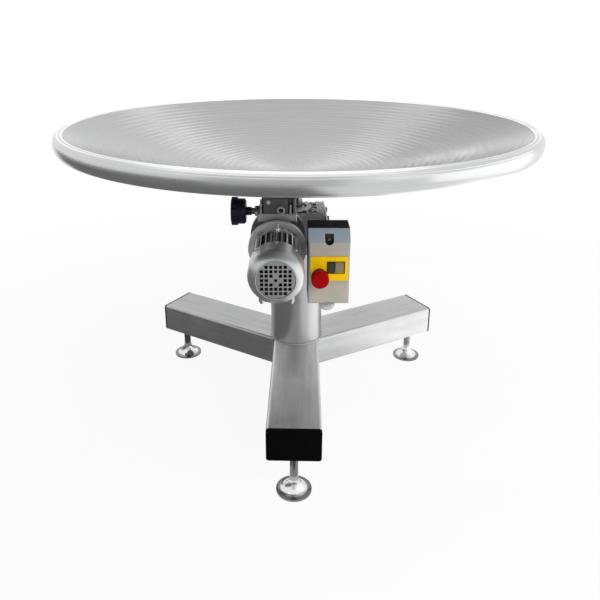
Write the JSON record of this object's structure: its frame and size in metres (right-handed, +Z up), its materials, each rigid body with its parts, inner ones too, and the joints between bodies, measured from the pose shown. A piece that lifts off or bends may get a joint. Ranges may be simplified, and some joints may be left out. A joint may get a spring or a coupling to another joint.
{
  "type": "rotary accumulation table",
  "caption": "Dished stainless turntable on a three-legged stand, turned by a motor with a variable-speed drive and a worm gearbox, for collecting packs at the end of a line.",
  "frame": {"origin": "on the floor under the table's axis of rotation", "axes": "+Z up along the table's axis, -Y forward along the motor and the front leg, +X towards the switch box"},
  "size_m": [1.1998, 1.2, 0.8],
  "materials": {
    "stainless_sheet": "brushed stainless steel",
    "stainless_bright": "polished stainless steel",
    "steel_parts": "machined and plated steel",
    "gear_bronze": "machined bronze",
    "cast_aluminium": "cast and sheet aluminium, silver-grey paint",
    "dark_casting": "dark grey painted casting",
    "stator_core": "varnished laminations and windings",
    "black_plastic": "black moulded plastic",
    "grey_plastic": "grey-beige moulded plastic",
    "switch_grey": "light grey moulded plastic",
    "yellow_plastic": "yellow moulded plastic",
    "red_plastic": "red moulded plastic",
    "seal_rubber": "black rubber"
  },
  "bodies": {
    "stand": {"leg_front": "stainless_sheet", "leg_right": "stainless_sheet", "leg_left": "stainless_sheet", "leg_end_caps": "black_plastic", "foot_bushes": "stainless_sheet", "foot_lock_nuts": "stainless_bright", "column": "stainless_sheet", "column_top_plate": "stainless_sheet", "column_bolts": "steel_parts", "gearbox_housing": "cast_aluminium", "gearbox_top_cover": "cast_aluminium", "gearbox_base_flange": "cast_aluminium", "output_bearings": "steel_parts", "output_seals": "seal_rubber", "worm_bearings": "steel_parts", "worm_end_cap": "black_plastic", "gearbox_fasteners": "steel_parts", "input_flange": "cast_aluminium", "variator_housing": "dark_casting", "control_block": "dark_casting", "variator_fittings": "steel_parts", "friction_ring": "steel_parts", "flange_bolts": "steel_parts", "motor_shield": "cast_aluminium", "motor_frame": "cast_aluminium", "stator": "stator_core", "motor_bearings": "steel_parts", "rear_shield": "cast_aluminium", "fan_cover": "cast_aluminium", "motor_screws": "steel_parts", "terminal_box": "cast_aluminium", "terminal_lid": "cast_aluminium", "terminal_gland": "black_plastic", "switch_base": "black_plastic", "switch_cover": "grey_plastic", "switch_plate": "yellow_plastic", "stop_collar": "black_plastic", "motor_switch": "switch_grey", "switch_gland": "switch_grey", "switch_screws": "steel_parts", "switch_bracket": "stainless_sheet"},
    "table": {"dish": "stainless_sheet", "rim_ring": "stainless_bright", "dish_hub": "stainless_sheet", "hub_fasteners": "steel_parts", "table_shaft": "stainless_bright", "shaft_retainer": "steel_parts", "worm_wheel": "gear_bronze"},
    "worm": {"worm_shaft": "steel_parts", "planet_carrier": "steel_parts"},
    "rotor": {"rotor": "steel_parts", "cooling_fan": "black_plastic"},
    "handwheel": {"handwheel": "black_plastic", "handwheel_cap": "black_plastic", "control_spindle": "steel_parts"},
    "stop_button": {"stop_button": "red_plastic"},
    "start_button": {"start_button": "black_plastic"},
    "foot_front": {"foot_front": "stainless_bright"},
    "foot_right": {"foot_right": "stainless_bright"},
    "foot_left": {"foot_left": "stainless_bright"}
  },
  "joints": [
    {"name": "table_spin", "type": "hinge", "parent": "stand", "child": "table", "pos_m": [0, 0, 0.7], "axis": [0, 0, 1], "continuous": true},
    {"name": "worm_spin", "type": "hinge", "parent": "stand", "child": "worm", "pos_m": [-0.05, 0, 0.526], "axis": [0, 1, 0], "continuous": true},
    {"name": "rotor_spin", "type": "hinge", "parent": "stand", "child": "rotor", "pos_m": [-0.05, -0.28, 0.526], "axis": [0, 1, 0], "continuous": true},
    {"name": "handwheel_turn", "type": "hinge", "parent": "stand", "child": "handwheel", "pos_m": [-0.14, -0.1495, 0.603], "axis": [1, 0, 0], "range_deg": [-720, 720]},
    {"name": "stop_press", "type": "slide", "parent": "stand", "child": "stop_button", "axis": [0, 1, 0], "range_m": [0, 0.005]},
    {"name": "start_press", "type": "slide", "parent": "stand", "child": "start_button", "axis": [0, 1, 0], "range_m": [0, 0.003], "stiffness_N_per_m": 800},
    {"name": "foot_front_adjust", "type": "slide", "parent": "stand", "child": "foot_front", "axis": [0, 0, 1], "range_m": [-0.012, 0.03]},
    {"name": "foot_right_adjust", "type": "slide", "parent": "stand", "child": "foot_right", "axis": [0, 0, 1], "range_m": [-0.012, 0.03]},
    {"name": "foot_left_adjust", "type": "slide", "parent": "stand", "child": "foot_left", "axis": [0, 0, 1], "range_m": [-0.012, 0.03]}
  ],
  "couplings": [
    {"joint": "worm_spin", "follows": "table_spin", "ratio": 40},
    {"joint": "rotor_spin", "follows": "table_spin", "ratio": 120}
  ]
}
